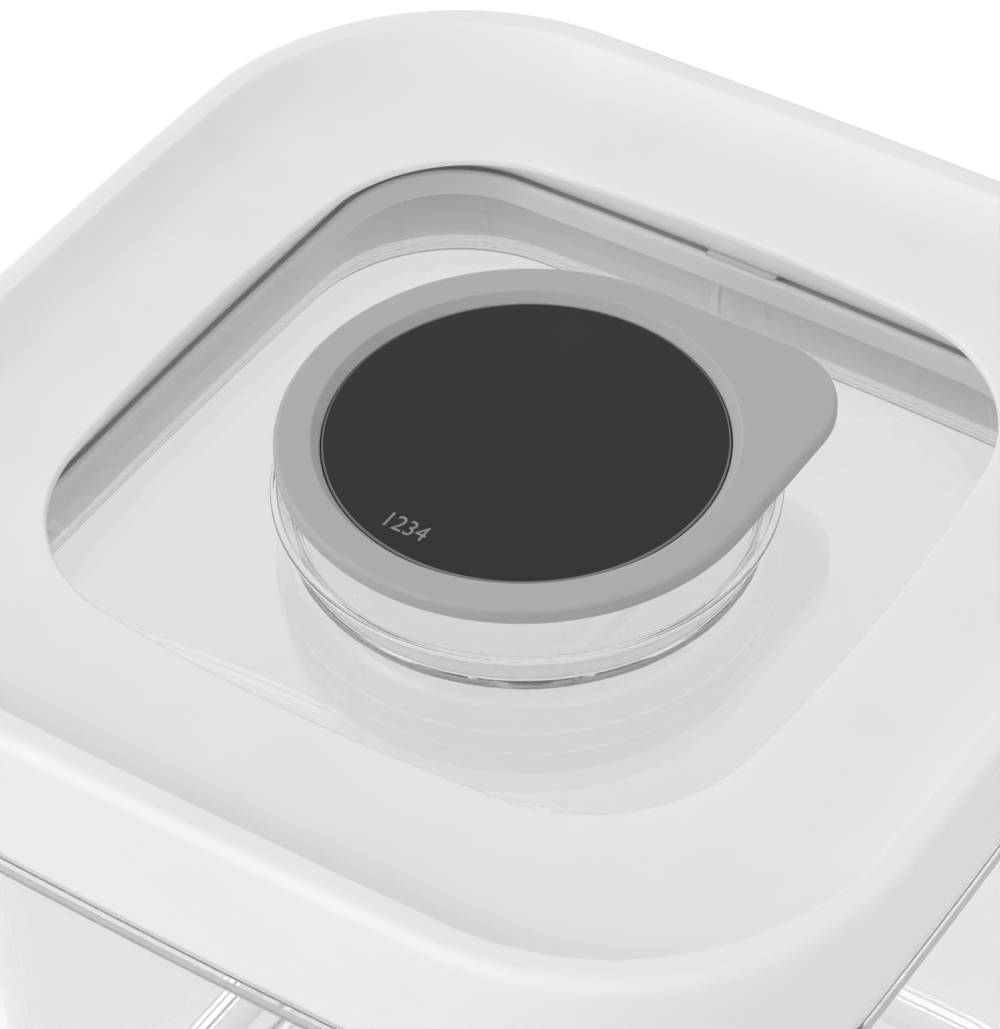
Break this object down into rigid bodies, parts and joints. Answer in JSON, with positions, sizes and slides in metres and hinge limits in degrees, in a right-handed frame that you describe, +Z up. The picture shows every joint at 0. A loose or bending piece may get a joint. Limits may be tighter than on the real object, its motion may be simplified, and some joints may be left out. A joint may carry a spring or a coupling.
{
  "type": "vacuum seal canister",
  "caption": "Square clear food canister with a white lid frame round a clear window, and a silicone pull-tab valve through which a hand pump draws out the air.",
  "frame": {"origin": "middle of the canister, on the surface that it stands on", "axes": "+Z up; the front is towards -Y; the valve's pull tab points to +X +Y"},
  "size_m": [0.104, 0.104, 0.1113],
  "materials": {
    "clear_tub": "clear, polished",
    "clear_lid": "clear, polished",
    "white_plastic": "satin",
    "grey_silicone": "matte",
    "pale_silicone": "matte",
    "black_plastic": "satin"
  },
  "bodies": {
    "container": {"container": "clear_tub"},
    "lid": {"lid_frame": "white_plastic", "lid_window": "clear_lid", "lid_collar": "pale_silicone", "lid_seal": "pale_silicone"},
    "valve": {"valve_cap": "grey_silicone", "valve_disc": "black_plastic", "valve_flap": "grey_silicone"}
  },
  "joints": [
    {"name": "lid_lift", "type": "slide", "parent": "container", "child": "lid", "axis": [0, 0, 1], "range_m": [0, 0.06]},
    {"name": "valve_tilt", "type": "hinge", "parent": "lid", "child": "valve", "pos_m": [-0.00962, -0.00962, 0.1017], "axis": [0.7071, -0.7071, 0], "range_deg": [0, 9], "stiffness_Nm_per_rad": 0.02}
  ]
}
